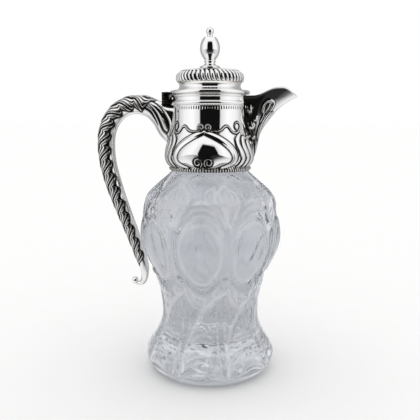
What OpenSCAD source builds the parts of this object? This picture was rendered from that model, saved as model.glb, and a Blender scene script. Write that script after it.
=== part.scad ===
// Silver-mounted claret jug: cut-glass body, silver collar with spout, leafy loop handle
// and a hinged lid with an urn finial. The origin is the centre of the foot's underside,
// +Z is up, +X points to the spout and -X to the handle and the hinge.

/* [Glass body] */
// Radius of the foot at its widest
foot_r = 55.8; // [54:0.2:58]
// Radius of the flat underside
base_r = 46.5; // [44:0.5:50]
// Radius of the waist above the foot
waist_r = 41.5; // [40:0.1:44]
// Height of the waist
waist_z = 51; // [49:0.5:54]
// Radius of the belly at its widest
belly_r = 60.4; // [58:0.1:61]
// Height of the belly's widest point
belly_z = 120; // [117:0.5:122]
// Outside radius of the neck that the collar covers
neck_r = 28.8; // [28:0.1:29.2]
// Radius of the bore in the neck
bore_r = 24.4; // [22:0.1:25]
// Height of the glass rim inside the collar
neck_top_z = 212; // [206:0.5:216]
// Height of the floor inside the glass
floor_z = 31; // [26:0.5:36]
// Wall thickness of the glass at the belly and the waist
glass_wall = 5.2; // [4:0.1:6]

/* [Collar] */
// Height of the collar's lower edge
collar_z = 174.6; // [174:0.1:176]
// Height of the collar's mouth
mouth_z = 235.7; // [235:0.1:235.8]
// Outside radius of the straight neck of the collar
collar_r = 30.9; // [30.7:0.1:31.2]
// Outside radius of the bulge above the lower edge
bulge_r = 37.4; // [36:0.1:38]
// Thickness of the sheet silver
sheet = 1.2; // [1:0.1:1.4]

/* [Spout] */
// Reach of the spout's lip from the jug's axis
spout_reach = 72.2; // [68:0.2:76]
// Half width of the spout where it leaves the collar
spout_half_w = 12; // [10:0.5:13]
// Height of the crest of the spout's rim
crest_z = 241.6; // [239:0.2:243]

/* [Handle] */
// Reach of the handle's centre line from the jug's axis
handle_reach = 90; // [88:0.5:94]
// Height of the handle's centre line at its top
handle_top_z = 227.4; // [226:0.2:228]
// Half depth of the handle along Y at its top
handle_half_d = 7; // [5:0.5:8]
// Thickness of the leaf sheath on the handle's outer side
leaf_t = 1.5; // [1:0.1:2]

/* [Lid] */
// Radius of the lid's flange
flange_r = 33.3; // [32.5:0.1:33.8]
// Thickness of the flange
flange_t = 3.2; // [2.6:0.1:3.4]
// Outside radius of the sleeve that drops into the mouth
sleeve_r = 28.9; // [28:0.1:29.1]
// Depth of that sleeve
sleeve_h = 6; // [4:0.5:7]
// Outside radius of the gadrooned border
gadroon_r = 28.2; // [27:0.1:29]
// Height of the finial's top
top_z = 290; // [288:0.5:294]

/* [Hinge] */
// Radius of the hinge pin
pin_r = 1.2; // [1:0.05:1.4]
// Radial clearance of the moving knuckle on the pin
pin_clear = 0.06; // [0.02:0.01:0.1]
// Overall length of the hinge along Y
hinge_l = 14; // [13:0.5:16]

/* [Hidden] */
$fn = 96;

eps = 0.01;
silver = "silver";
axis_x = -36.5;                       // hinge axis, which lies along Y
axis_z = 235.4;
lid_z = mouth_z + 0.3;                // underside of the closed lid's flange
wall_z = lid_z + flange_t;            // top of the flange, foot of the lid's wall
gadroon_z = wall_z + 6.3;             // foot of the gadrooned border
gadroon_h = 9;
dome_z = gadroon_z + gadroon_h;       // foot of the dome
base_z = dome_z + 3.4;                // foot of the finial
urn_z = base_z + 5;                   // foot of the finial's urn
bead_z = top_z - 6;                   // foot of the bead on top
stud_r = 1.5;
spout_angle = 24;                     // half of the arc that the spout takes from the mouth
mouth_half_w = 9;                     // half width of the opening from the collar into the spout
handle_angle = 17;                    // half of the arc that the handle and hinge take
notch_x = -31;                        // the flange is cut back to here beside the hinge

// A cubic curve from a to d that leaves towards b and arrives from c, in n steps.
function curve(a, b, c, d, n = 12) = [
    for (i = [0 : n]) let (t = i / n)
        a * pow(1 - t, 3) + 3 * b * t * pow(1 - t, 2) + 3 * c * pow(t, 2) * (1 - t) + d * pow(t, 3)
];

// A lathe stretch between two radii that starts and ends upright; ka and kb set its fullness.
function swell(a, b, ka = 0.4, kb = 0.4, n = 12) =
    let (h = b[1] - a[1])
    curve(a, [a[0], a[1] + ka * h], [b[0], b[1] - kb * h], b, n);

function reversed(v) = [for (i = [len(v) - 1 : -1 : 0]) v[i]];

module turned(outline) rotate_extrude() polygon(outline);

// ---- glass ----
glass_outer = concat(
    [[0, 0], [base_r, 0], [base_r + 2.5, 2]],
    curve([base_r + 5.3, 4.4], [foot_r - 1.2, 7.5], [foot_r, 10], [foot_r, 12.5], 5),
    swell([foot_r, 12.5], [waist_r, waist_z], 0.25, 0.45),
    swell([waist_r, waist_z], [belly_r, belly_z], 0.46, 0.3),
    curve([belly_r, belly_z], [belly_r, belly_z + 14], [belly_r - 2.8, 143], [belly_r - 4.6, 148], 5),
    curve([belly_r - 5.3, 150], [belly_r - 8.4, 157], [neck_r + 9.2, 166], [neck_r + 2.6, 174], 9),
    [[neck_r, 180], [neck_r, neck_top_z]]
);
glass_inner = concat(
    [[0, floor_z], [waist_r - glass_wall - 4, floor_z]],
    swell([waist_r - glass_wall, floor_z + 5], [waist_r - glass_wall, 54], 0.3, 0.3, 3),
    swell([waist_r - glass_wall, 54], [belly_r - glass_wall, belly_z], 0.46, 0.3),
    curve([belly_r - glass_wall, belly_z], [belly_r - glass_wall, belly_z + 36],
        [bore_r + 6, 164], [bore_r, 180], 14),
    [[bore_r, neck_top_z]]
);

module glass_body() color([0.75, 0.78, 0.82, 0.5])
    turned(concat(glass_outer, reversed(glass_inner)));

// ---- collar ----
collar_foot = [33.2, collar_z + 2];
collar_bulge = [bulge_r, 186];
collar_neck = [collar_r, 217];
collar_outer = concat(
    [[collar_foot[0] - 0.4, collar_z]],
    curve(collar_foot, collar_foot + [2.6, 2], collar_bulge - [0, 5], collar_bulge, 8),
    swell(collar_bulge, collar_neck, 0.45, 0.4)
);
// The same line moved inwards by d; the plaster and the sheet's inner face follow it.
function collar_inset(d) = [for (p = collar_outer) [p[0] - d, p[1]]];

module neck_cement() color("ivory") difference() {
    turned(concat([[0, collar_z]], collar_inset(sheet + 0.1), [[0, collar_neck[1]]]));
    translate([0, 0, -eps]) cylinder(r = neck_r, h = 300);
    translate([0, 0, neck_top_z]) cylinder(r = 60, h = 20);
    // The glass shoulder widens under the plaster.
    turned([[0, 170], [neck_r + 8, 170], [neck_r + 2.7, 174], [neck_r, 180.1], [0, 180.1]]);
}

// Everything that the collar encloses, filled, used to trim what is soldered to it.
module collar_volume()
    turned(concat([[0, collar_z]], collar_outer, [[collar_r, 260], [0, 260]]));

module collar() color(silver) difference() {
    turned(concat(collar_outer, [[collar_r, mouth_z], [collar_r - sheet, mouth_z]],
        reversed(collar_inset(sheet))));
    // Opening into the spout: a round-bottomed slot through the +X wall only
    translate([0, 0, 218]) rotate([0, 90, 0]) cylinder(r = mouth_half_w, h = 60);
    translate([0, -mouth_half_w, 218]) cube([60, 2 * mouth_half_w, 40]);
}

module collar_foot_wire() color(silver) difference() {
    rotate_extrude() translate([collar_foot[0] + 0.2, collar_z]) circle(r = 1.9, $fn = 32);
    collar_volume();
    turned(concat(glass_outer, [[0, neck_top_z]]));
}

// A half-round wire laid round the neck between two angles
module neck_wire(from, sweep) color(silver)
    rotate([0, 0, from]) rotate_extrude(angle = sweep)
        translate([collar_r, 228.6]) intersection() {
            circle(r = 2.1, $fn = 32);
            translate([0, -3]) square([6, 6]);
        }
wire_sweep = 180 - spout_angle - handle_angle;
module neck_wire_front() neck_wire(180 + handle_angle, wire_sweep);
module neck_wire_back() neck_wire(spout_angle, wire_sweep);

// Bead round the mouth, open at the spout
module mouth_wire() color(silver)
    rotate([0, 0, spout_angle]) rotate_extrude(angle = 360 - 2 * spout_angle)
        translate([collar_r, mouth_z - 1.2]) intersection() {
            circle(r = 1.2, $fn = 32);
            translate([0, -2]) square([4, 4]);
        }

// ---- spout ----
// Lines of the spout in its plane of symmetry: the keel underneath and the rim on top
keel = concat(
    curve([30, 176], [37.5, 178], [39.2, 190], [41.2, 200], 8),
    curve([41.9, 202.6], [44, 209], [48, 213], [55, 222], 7),
    curve([57, 224], [61, 227.5], [66, 231], [spout_reach, mouth_z - 2.2], 6)
);
rim_line = concat(
    [[29, 234.6], [34, 234.6]],
    curve([38, 234.7], [46, 236], [49, crest_z], [59, crest_z], 6),
    curve([61, crest_z], [65, crest_z - 0.4], [69, 237], [spout_reach, mouth_z - 1.4], 5)
);
spout_cols = 10;                      // columns on each side of the keel
spout_x0 = 25;                        // the trough starts inside the collar
lip_half_w = 5.5;
spout_fullness = 3.1;                 // a higher power gives steeper flanks and a flatter keel
// Half width of the rim at x: it narrows to a rounded lip
function rim_half_w(x) = let (s = (x - spout_x0) / (spout_reach + 0.4 - spout_x0))
    (spout_half_w * (1 - s) + lip_half_w * s) * pow(max(1 - pow(s, 7), 0), 0.5);
// One U-shaped cross-section at x, inset by d
function spout_section(x, d) = let (
        zk = lookup(x + d, keel) + 0.4 * d,
        zr = lookup(x, rim_line) + (d > 0 ? 3 : 0),
        w = max(rim_half_w(x) - d, 0.3)
    ) [for (j = [-spout_cols : spout_cols]) let (u = j / spout_cols)
        [x, w * u, zk + (zr - zk) * pow(abs(u), spout_fullness)]];
// The filled trough between x0 and x1, closed flat across its rim
module spout_fill(x0, x1, d, rows = 20) {
    secs = [for (i = [0 : rows]) spout_section(x1 - (x1 - x0) * pow(1 - i / rows, 1.5), d)];
    n = 2 * spout_cols + 1;
    polyhedron(
        points = [for (sec = secs) each sec],
        faces = concat(
            [for (i = [0 : rows - 1], j = [0 : n - 2]) each [
                [i * n + j, (i + 1) * n + j, (i + 1) * n + j + 1],
                [i * n + j, (i + 1) * n + j + 1, i * n + j + 1]]],
            [for (i = [0 : rows - 1]) each [
                [i * n + n - 1, (i + 1) * n + n - 1, (i + 1) * n],
                [i * n + n - 1, (i + 1) * n, i * n]]],
            [[for (j = [0 : n - 1]) j]],
            [[for (j = [n - 1 : -1 : 0]) rows * n + j]]
        ));
}
module spout() color(silver) difference() {
    spout_fill(spout_x0, spout_reach, 0);
    spout_fill(spout_x0 - 3, spout_reach - sheet, sheet);
    collar_volume();
}

// ---- handle ----
handle_line = concat(
    curve([-28, 212], [-38, 214], [-46, handle_top_z], [-62, handle_top_z], 9),
    curve([-66, handle_top_z - 0.2], [-79, handle_top_z - 1.5], [-handle_reach, 213],
        [-handle_reach, 195], 9),
    curve([-handle_reach, 190], [-handle_reach, 160], [-61, 107], [-58.6, 84], 14),
    curve([-58.4, 80], [-58.4, 73.5], [-61, 70.5], [-66, 70.8], 5)
);
handle_n = len(handle_line) - 1;
handle_sides = 16;
// Half thickness in the plane of the handle, and half depth along Y, at a share s of its length
function handle_a(s) = lookup(s, [[0, 19], [0.05, 15.5], [0.1, 11], [0.15, 8.6], [0.22, 7.3],
    [0.48, 6.9], [0.6, 6.5], [0.7, 5.4], [0.81, 4.5], [0.87, 3.6], [1, 1.8]]);
function handle_b(s) = lookup(s, [[0, 8.5], [0.2, handle_half_d], [0.6, handle_half_d * 0.9],
    [0.86, 3.6], [1, 2]]);
function heading(i) = let (
        a = handle_line[max(i - 1, 0)],
        b = handle_line[min(i + 1, handle_n)]
    ) (b - a) / norm(b - a);
// A point of the ring at station i, at angle f from the outer side, grown by g
function handle_point(i, f, g = 0) = let (
        h = heading(i),
        out = [h[1], -h[0]] * -1,
        s = i / handle_n,
        p = handle_line[i] - out * (handle_a(s) + g) * cos(f)
    ) [p[0], -(handle_b(s) + g) * sin(f), p[1]];
function quads(rows, n) = [
    for (i = [0 : rows - 1], j = [0 : n - 1]) let (k = (j + 1) % n) each [
        [i * n + j, (i + 1) * n + j, (i + 1) * n + k],
        [i * n + j, (i + 1) * n + k, i * n + k]]];
// A tube of rings joined by quads; each end is closed by strips between opposite points
module skin(rings) {
    n = len(rings[0]);
    rows = len(rings) - 1;
    polyhedron(
        points = [for (r = rings) each r],
        faces = concat(quads(rows, n),
            [for (j = [0 : n / 2 - 2]) [j, j + 1, n - 2 - j, n - 1 - j]],
            [for (j = [0 : n / 2 - 2]) [for (k = [n - 1 - j, n - 2 - j, j + 1, j]) rows * n + k]]));
}
module scroll_ball()
    translate([-67.6, 0, 73.6]) sphere(r = 3.1, $fn = 48);
module handle_core() color(silver) difference() {
    skin([for (i = [0 : handle_n])
        [for (j = [0 : handle_sides - 1]) handle_point(i, j * 360 / handle_sides)]]);
    collar_volume();
    handle_seat();
    scroll_ball();
}
// Room for the hinge bracket on top of the handle's root
module handle_seat()
    translate([axis_x - 4, -hinge_l / 2 - 0.5, 227.9]) cube([20, hinge_l + 1, 20]);

// The leaf sheath: it wraps the outer side of the core and swells at every leaf tip
leaf_first = 6;
leaf_last = 33;
leaf_f = [-90, -67.5, -45, -22.5, 0, 22.5, 45, 67.5, 90];
leaf_gap = 0.1;                       // solder gap between the sheath and the core
module handle_leaves() color(silver)
    skin([for (i = [leaf_first : leaf_last]) concat(
        [for (f = leaf_f) handle_point(i, f, leaf_t * (0.75 + 0.25 * cos(180 * i)) * max(cos(f), 0.25))],
        [for (f = reversed(leaf_f)) handle_point(i, f, leaf_gap)])]);

module handle_scroll_tip() color(silver) scroll_ball();

// ---- hinge ----
lug_l = 3.8;
lug_x = axis_x - 3.2;
lug_w = 6.1;
module hinge_bracket() color(silver) difference() {
    union() {
        for (s = [-1, 1]) translate([lug_x, s > 0 ? hinge_l / 2 - lug_l : -hinge_l / 2, 232])
            cube([lug_w, lug_l, 6]);
        translate([lug_x, -hinge_l / 2, 228]) cube([12, hinge_l, 4.1]);
    }
    translate([axis_x, -hinge_l / 2 - 1, axis_z]) rotate([-90, 0, 0])
        cylinder(r = pin_r + 0.02, h = hinge_l + 2);
    collar_volume();
    // Clearance for the barrel of the moving knuckle
    translate([axis_x, lug_l - hinge_l / 2, axis_z]) rotate([-90, 0, 0])
        cylinder(r = 3.4, h = hinge_l - 2 * lug_l);
}
module hinge_pin() color(silver)
    translate([axis_x, -hinge_l / 2, axis_z]) rotate([-90, 0, 0]) cylinder(r = pin_r, h = hinge_l);

knuckle_l = hinge_l - 2 * lug_l - 0.3;
module hinge_lid_knuckle() color(silver) difference() {
    union() {
        translate([axis_x, -knuckle_l / 2, axis_z]) rotate([-90, 0, 0]) cylinder(r = 2.9, h = knuckle_l);
        translate([axis_x, -knuckle_l / 2, lid_z]) cube([notch_x - axis_x, knuckle_l, 2.2]);
    }
    translate([axis_x, -knuckle_l / 2 - 1, axis_z]) rotate([-90, 0, 0])
        cylinder(r = pin_r + pin_clear, h = knuckle_l + 2);
}

// ---- lid ----
module lid_flange() color(silver) difference() {
    turned(concat(
        [[sleeve_r - 2.6, lid_z], [flange_r - 0.8, lid_z]],
        curve([flange_r - 0.3, lid_z + 0.3], [flange_r, lid_z + 0.6], [flange_r, wall_z - 0.8],
            [flange_r - 0.8, wall_z - 0.3], 5),
        [[flange_r - 2.4, wall_z], [sleeve_r - 2.6, wall_z]]));
    // Notch beside the hinge
    translate([notch_x - 10, -hinge_l / 2 - 0.4, lid_z - 1]) cube([10, hinge_l + 0.8, flange_t + 2]);
}
module lid_sleeve() color(silver) translate([0, 0, lid_z - sleeve_h]) difference() {
    cylinder(r = sleeve_r, h = sleeve_h);
    translate([0, 0, -eps]) cylinder(r = sleeve_r - sheet, h = sleeve_h + 1);
}
lid_wall_line = concat(
    curve([sleeve_r - 0.6, wall_z], [26.2, wall_z + 0.8], [25.4, wall_z + 2.2], [25.4, wall_z + 3.8], 6),
    curve([25.5, wall_z + 4.3], [25.7, wall_z + 5.2], [26.2, wall_z + 5.8], [26.6, gadroon_z], 3)
);
module lid_wall() color(silver)
    turned(concat(lid_wall_line, [for (p = reversed(lid_wall_line)) [p[0] - sheet, p[1]]]));
module gadroon_border() color(silver) turned(concat(
    [[23, gadroon_z], [26.6, gadroon_z]],
    curve([27.2, gadroon_z + 0.4], [gadroon_r + 0.3, gadroon_z + 2], [gadroon_r + 0.3, gadroon_z + 5],
        [26.6, gadroon_z + 7.2], 8),
    [[24.6, gadroon_z + 8.6], [23, dome_z], [21.5, dome_z], [21.5, gadroon_z + 1.5]]));
module lid_dome() color(silver) difference() {
    turned(concat(
        [[0, base_z - 1.4], [8, base_z - 1.4]],
        curve([8, base_z - 1.4], [14, base_z - 2], [20, dome_z], [21.4, dome_z], 6),
        [[24.4, dome_z], [24.2, dome_z + 0.6]],
        curve([22.8, dome_z + 0.9], [18, dome_z + 1.6], [13, base_z - 1.4], [8.8, base_z - 0.4], 6),
        [[8.3, base_z], [0, base_z]]));
    translate([0, 0, dome_z - 5]) cylinder(r = stud_r + 0.05, h = 20);
}
module finial_base() color(silver) difference() {
    turned(concat(
        [[0, base_z], [8.1, base_z], [8.1, base_z + 0.9]],
        curve([7.2, base_z + 1.4], [5, base_z + 1.8], [4.3, base_z + 2.6], [4.2, urn_z - 0.9], 6),
        [[4.9, urn_z - 0.5], [4.9, urn_z], [0, urn_z]]));
    translate([0, 0, base_z - 1]) cylinder(r = stud_r + 0.05, h = 10);
}
module finial_urn() color(silver) difference() {
    turned(concat(
        [[0, urn_z], [4.4, urn_z], [4.5, urn_z + 0.6]],
        curve([4.6, urn_z + 1.2], [6.2, urn_z + 3], [8.24, urn_z + 6], [8.24, urn_z + 10.3], 8),
        curve([8.2, urn_z + 11.4], [8, urn_z + 15], [6.4, urn_z + 17.6], [5, urn_z + 19], 7),
        [[2.6, urn_z + 19.7], [2.1, urn_z + 20.4], [2.1, bead_z], [0, bead_z]]));
    translate([0, 0, urn_z - 1]) cylinder(r = stud_r + 0.05, h = 10);
}
module finial_bead() color(silver) turned(concat(
    [[0, bead_z], [2.1, bead_z]],
    curve([2.3, bead_z + 0.6], [3.3, bead_z + 1.8], [3.2, bead_z + 4.4], [1.5, top_z - 0.5], 7),
    [[0.7, top_z - 0.1], [0, top_z]]));
module finial_stud() color("gray")
    translate([0, 0, base_z - 6]) cylinder(r = stud_r, h = urn_z + 8 - base_z + 6);
module finial_nut() color("gray") translate([0, 0, base_z - 4.8]) difference() {
    cylinder(r = 3.4, h = 2.7, $fn = 6);
    translate([0, 0, -1]) cylinder(r = stud_r + 0.03, h = 5);
}
module finial_washer() color("gray") translate([0, 0, base_z - 2.1]) difference() {
    cylinder(r = 4.6, h = 0.7);
    translate([0, 0, -1]) cylinder(r = stud_r + 0.1, h = 3);
}

glass_body();
neck_cement();
collar();
collar_foot_wire();
mouth_wire();
neck_wire_front();
neck_wire_back();
spout();
handle_core();
handle_leaves();
handle_scroll_tip();
hinge_bracket();
hinge_pin();
hinge_lid_knuckle();
lid_flange();
lid_sleeve();
lid_wall();
gadroon_border();
lid_dome();
finial_base();
finial_urn();
finial_bead();
finial_stud();
finial_nut();
finial_washer();
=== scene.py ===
import math
import bpy
import bmesh
import numpy as np
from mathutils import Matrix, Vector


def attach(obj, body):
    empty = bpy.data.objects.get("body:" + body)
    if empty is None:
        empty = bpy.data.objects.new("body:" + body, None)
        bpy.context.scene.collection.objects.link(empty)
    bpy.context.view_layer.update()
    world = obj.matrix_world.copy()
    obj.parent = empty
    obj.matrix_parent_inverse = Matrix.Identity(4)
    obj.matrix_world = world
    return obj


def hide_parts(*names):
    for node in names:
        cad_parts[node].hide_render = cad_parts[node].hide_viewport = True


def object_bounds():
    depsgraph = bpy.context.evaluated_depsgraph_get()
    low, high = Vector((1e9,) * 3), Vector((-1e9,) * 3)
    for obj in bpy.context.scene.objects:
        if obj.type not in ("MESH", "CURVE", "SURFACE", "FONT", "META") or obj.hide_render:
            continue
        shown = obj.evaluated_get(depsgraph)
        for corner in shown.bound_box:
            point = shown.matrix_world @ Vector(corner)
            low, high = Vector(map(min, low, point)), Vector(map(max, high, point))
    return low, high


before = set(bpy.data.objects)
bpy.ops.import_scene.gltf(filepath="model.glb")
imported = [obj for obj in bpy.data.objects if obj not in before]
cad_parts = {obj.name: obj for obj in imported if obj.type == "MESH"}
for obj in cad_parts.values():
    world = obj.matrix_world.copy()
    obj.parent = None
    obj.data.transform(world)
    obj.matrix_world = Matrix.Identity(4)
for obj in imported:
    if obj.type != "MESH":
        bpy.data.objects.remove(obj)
cadBox = [list(corner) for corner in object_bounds()]
mm = 0.001                       # outlines below are in millimetres, meshes in metres
jugTop = cadBox[1][2] / mm
print("frame loaded,", len(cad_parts), "parts")


# ---------- small drawing tools ----------

def bend(a, b, c, d, steps=12):  # cubic curve from a to d, pulled by b and c
    a, b, c, d = (np.array(p, float) for p in (a, b, c, d))
    t = np.linspace(0, 1, steps + 1)[:, None]
    return a * (1 - t) ** 3 + 3 * b * t * (1 - t) ** 2 + 3 * c * t * t * (1 - t) + d * t ** 3


def swell(a, b, fullA=0.4, fullB=0.4, steps=12):  # lathe stretch that starts and ends upright
    rise = b[1] - a[1]
    return bend(a, (a[0], a[1] + fullA * rise), (b[0], b[1] - fullB * rise), b, steps)


def join(*parts):
    return np.vstack([np.atleast_2d(np.array(p, float)) for p in parts])


def evenly(line, count):         # the same line with evenly spaced points
    line = np.array(line, float)
    run = np.r_[0, np.cumsum(np.hypot(*np.diff(line[:, :2], axis=0).T))]
    at = np.linspace(0, run[-1], count)
    return np.stack([np.interp(at, run, line[:, k]) for k in range(line.shape[1])], -1)


def flowing(points, steps=8):    # smooth line through a few points
    p = np.array(points, float)
    p = np.vstack([2 * p[0] - p[1], p, 2 * p[-1] - p[-2]])
    t = np.linspace(0, 1, steps, endpoint=False)[:, None]
    out = []
    for a, b, c, d in zip(p, p[1:], p[2:], p[3:]):
        out.append(0.5 * (2 * b + (c - a) * t + (2 * a - 5 * b + 4 * c - d) * t ** 2
                          + (3 * b - a - 3 * c + d) * t ** 3))
    return np.vstack(out + [p[-2:-1]])


def spiral(centre, radii, angles, steps=28):
    r = np.linspace(radii[0], radii[1], steps)
    a = np.radians(np.linspace(angles[0], angles[1], steps))
    return np.stack([centre[0] + r * np.cos(a), centre[1] + r * np.sin(a)], -1)


def ease(value, low, high):      # 0 below low, 1 above high, smooth between
    t = np.clip((value - low) / (high - low), 0, 1)
    return t * t * (3 - 2 * t)


def peak(value, middle, width):  # a smooth hill, 1 at its middle
    return np.exp(-((value - middle) / width) ** 2)


# ---------- relief drawn on a sheet: height and tarnish over (across, up) in mm ----------

def blankSheet(across, up):
    return {"u": across, "z": up, "height": np.zeros(across.shape), "dark": np.zeros(across.shape)}


def nearLine(sheet, line, reach):
    u, z = sheet["u"], sheet["z"]
    low, high = line.min(0) - reach, line.max(0) + reach
    near = (u > low[0]) & (u < high[0]) & (z > low[1]) & (z < high[1])
    p = np.stack([u[near], z[near]], -1)
    best, share = np.full(len(p), 1e9), np.zeros(len(p))
    step = np.hypot(*np.diff(line, axis=0).T)
    run = np.r_[0, np.cumsum(step)]
    for i in range(len(line) - 1):
        d = line[i + 1] - line[i]
        t = np.clip((p - line[i]) @ d / max(step[i] ** 2, 1e-9), 0, 1)
        gap = np.hypot(*(p - line[i] - t[:, None] * d).T)
        closer = gap < best
        best[closer] = gap[closer]
        share[closer] = ((run[i] + t * step[i]) / run[-1])[closer]
    return near, best, share, run[-1]


# A raised band: half width, height, how it tapers, fine lines along it, rope pitch
def band(sheet, line, half, height, taper=0.25, lines=0, rope=0, edge=0.42, dark=1.0):
    near, gap, share, length = nearLine(sheet, line, half + 2)
    thin = half * (1 - (1 - taper) * (1 - np.sin(np.pi * np.clip(share, 0.03, 0.97)) ** 0.5))
    t = np.clip(gap / thin, 0, 1)
    up = height * (1 - t ** 2.6) ** 0.7
    if lines:
        up -= 0.13 * height * (1 - np.cos(2 * np.pi * lines * t)) * (t < 0.95)
    if rope:
        up *= 0.62 + 0.38 * np.cos(2 * np.pi * (share * length + gap * 0.9) / rope)
    inside = gap < thin
    old, darkening = sheet["height"][near], sheet["dark"][near]
    rim = dark * np.exp(-((gap - thin - 0.12) / edge) ** 2)
    sheet["dark"][near] = np.where(inside, darkening * 0.25, darkening)
    sheet["dark"][near] = np.maximum(sheet["dark"][near], rim)
    sheet["height"][near] = np.where(inside, np.maximum(old * 0.5, 0) + up, old)


# A cut channel: half width, depth
def groove(sheet, line, half, depth, taper=0.2, dark=0.8):
    near, gap, share, _ = nearLine(sheet, line, half * 2.5)
    thin = half * (1 - (1 - taper) * (1 - np.sin(np.pi * np.clip(share, 0.02, 0.98)) ** 0.6))
    cut = np.exp(-(gap / thin) ** 2)
    sheet["height"][near] -= depth * cut
    sheet["dark"][near] = np.maximum(sheet["dark"][near], dark * cut ** 1.5)


# A round boss with petals turned round it
def rosette(sheet, centre, radius, height, petals=5):
    u, z = sheet["u"] - centre[0], sheet["z"] - centre[1]
    r = np.hypot(u, z) / radius
    turn = np.arctan2(z, u) + 2.2 * r
    near = r < 1.25
    leaf = np.abs(np.sin(petals / 2 * turn))
    up = height * np.sqrt(np.clip(1 - (r / (0.8 + 0.2 * leaf)) ** 2, 0, 1)) * (0.75 + 0.25 * leaf)
    up += 0.35 * height * peak(r, 0, 0.25)
    darkening = 0.6 * peak(leaf, 0, 0.16) * (r > 0.25) * (r < 0.9) + 0.8 * peak(r, 1.03, 0.09)
    sheet["height"][near] = np.maximum(sheet["height"], up)[near]
    darkening = np.where(r < 0.95, darkening * 0.8, np.maximum(sheet["dark"], darkening))
    sheet["dark"][near] = np.clip(darkening, 0, 1)[near]


def insideOf(sheet, outline):
    u, z = sheet["u"], sheet["z"]
    hit = np.zeros(u.shape, bool)
    for a, b in zip(outline, np.roll(outline, -1, axis=0)):
        crosses = (a[1] > z) != (b[1] > z)
        hit ^= crosses & (u < (b[0] - a[0]) * (z - a[1]) / (b[1] - a[1] + 1e-12) + a[0])
    return hit


# ---------- meshes ----------

pieces = []


def placed(name, data):
    made = bpy.data.objects.new(name, data)
    bpy.context.scene.collection.objects.link(made)
    return made


def addPiece(name, points, faces, body, material, replaces=(), marks=None, sharp=40):
    mesh = bpy.data.meshes.new(name)
    mesh.from_pydata([tuple(p) for p in np.asarray(points, float) * mm], [], faces)
    mesh.update()
    work = bmesh.new()
    work.from_mesh(mesh)
    bmesh.ops.recalc_face_normals(work, faces=work.faces)
    work.to_mesh(mesh)
    work.free()
    for mark, values in (marks or {}).items():
        layer = mesh.attributes.new(mark, "FLOAT", "POINT")
        layer.data.foreach_set("value", np.asarray(values, np.float32).ravel())
    mesh.shade_smooth()
    if sharp:
        mesh.set_sharp_from_angle(angle=math.radians(sharp))
    mesh.materials.append(material)
    piece = placed(name, mesh)
    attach(piece, body)
    if replaces:
        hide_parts(*replaces)
    pieces.append(piece)
    return piece


def around(r, turns, z):         # radius, angle and height to (x, y, z)
    return np.stack([r * np.cos(turns), r * np.sin(turns), z + 0 * r * turns], -1)


def column(values):
    return np.asarray(values)[:, None]


def fullTurn(steps):
    return np.linspace(0, 2 * np.pi, steps, endpoint=False)


def pushedOut(outline, rise):    # radius and height of an outline (r, z) moved along its normal
    slope = np.gradient(outline, axis=0)
    normal = np.stack([slope[:, 1], -slope[:, 0]], -1) / np.hypot(*slope.T)[:, None]
    return [column(outline[:, k]) + column(normal[:, k]) * rise for k in (0, 1)]


def cells(rows, cols, wrap, first=0):
    i, j = np.meshgrid(np.arange(rows), np.arange(cols), indexing="ij")
    wide = cols if wrap else cols + 1
    k = (j + 1) % wide
    quad = np.stack([i * wide + j, i * wide + k, (i + 1) * wide + k, (i + 1) * wide + j], -1)
    return quad + first


def gridFaces(rows, cols, wrap, loop=False):  # loop also joins the last row to the first
    faces = cells(rows, cols, wrap).reshape(-1, 4).tolist()
    if loop:
        faces += [[rows * cols + j, rows * cols + (j + 1) % cols, (j + 1) % cols, j] for j in range(cols)]
    return faces


def tubeFaces(rows, cols):       # a tube with flat ends
    return gridFaces(rows, cols, True) + [list(range(cols))[::-1], [rows * cols + k for k in range(cols)]]


# A thick sheet: a fine outer grid, an inner grid with every fourth point, and walls between
# them along every open edge. keep says which coarse cells exist; capLow closes row 0.
def thickSheet(outer, inner, wrap, keep=None, capLow=False):
    rows, cols = inner.shape[0] - 1, inner.shape[1] - (0 if wrap else 1)
    keep = np.ones((rows, cols), bool) if keep is None else keep
    fineKeep = np.repeat(np.repeat(keep, 4, 0), 4, 1)
    start = outer.shape[0] * outer.shape[1]
    faces = cells(rows * 4, cols * 4, wrap)[fineKeep].tolist()
    faces += cells(rows, cols, wrap, start)[keep][:, ::-1].tolist()
    fineWide, wide = outer.shape[1], inner.shape[1]

    def wall(i0, j0, i1, j1):    # from one coarse corner to the next
        run = [(i0 * 4 + (i1 - i0) * k, j0 * 4 + (j1 - j0) * k) for k in range(5)]
        fine = [i * fineWide + j % fineWide for i, j in run]
        faces.append(fine + [start + i1 * wide + j1 % wide, start + i0 * wide + j0 % wide])

    for i in range(rows):
        for j in range(cols):
            if not keep[i, j]:
                continue
            left = keep[i, j - 1] if (wrap or j > 0) else False
            right = keep[i, (j + 1) % cols] if (wrap or j < cols - 1) else False
            if not left:
                wall(i, j, i + 1, j)
            if not right:
                wall(i + 1, j + 1, i, j + 1)
            if i == rows - 1 or not keep[i + 1, j]:
                wall(i + 1, j, i + 1, j + 1)
            if (i > 0 and not keep[i - 1, j]) or (i == 0 and not capLow):
                wall(i, j + 1, i, j)
    if capLow:
        faces.append(list(range(fineWide))[::-1])
        faces.append([start + j for j in range(wide)])
    points = np.vstack([outer.reshape(-1, 3), inner.reshape(-1, 3)])
    return points, faces


def dropLoose(points, faces, marks):  # removes points that no face uses
    used = np.zeros(len(points), bool)
    for f in faces:
        used[f] = True
    number = np.cumsum(used) - 1
    faces = [[int(number[k]) for k in f] for f in faces]
    return points[used], faces, {m: np.asarray(v)[used] for m, v in marks.items()}


# A turned piece from an outline of (radius, height) points; a closed outline goes all round
def lathe(name, outline, body, material, replaces=(), steps=160, closed=True):
    outline = np.array(outline, float)
    points = around(column(outline[:, 0]), fullTurn(steps), column(outline[:, 1]))
    rows = len(outline) - 1
    faces = gridFaces(rows, steps, True, loop=True) if closed else tubeFaces(rows, steps)
    return addPiece(name, points.reshape(-1, 3), faces, body, material, replaces)


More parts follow.
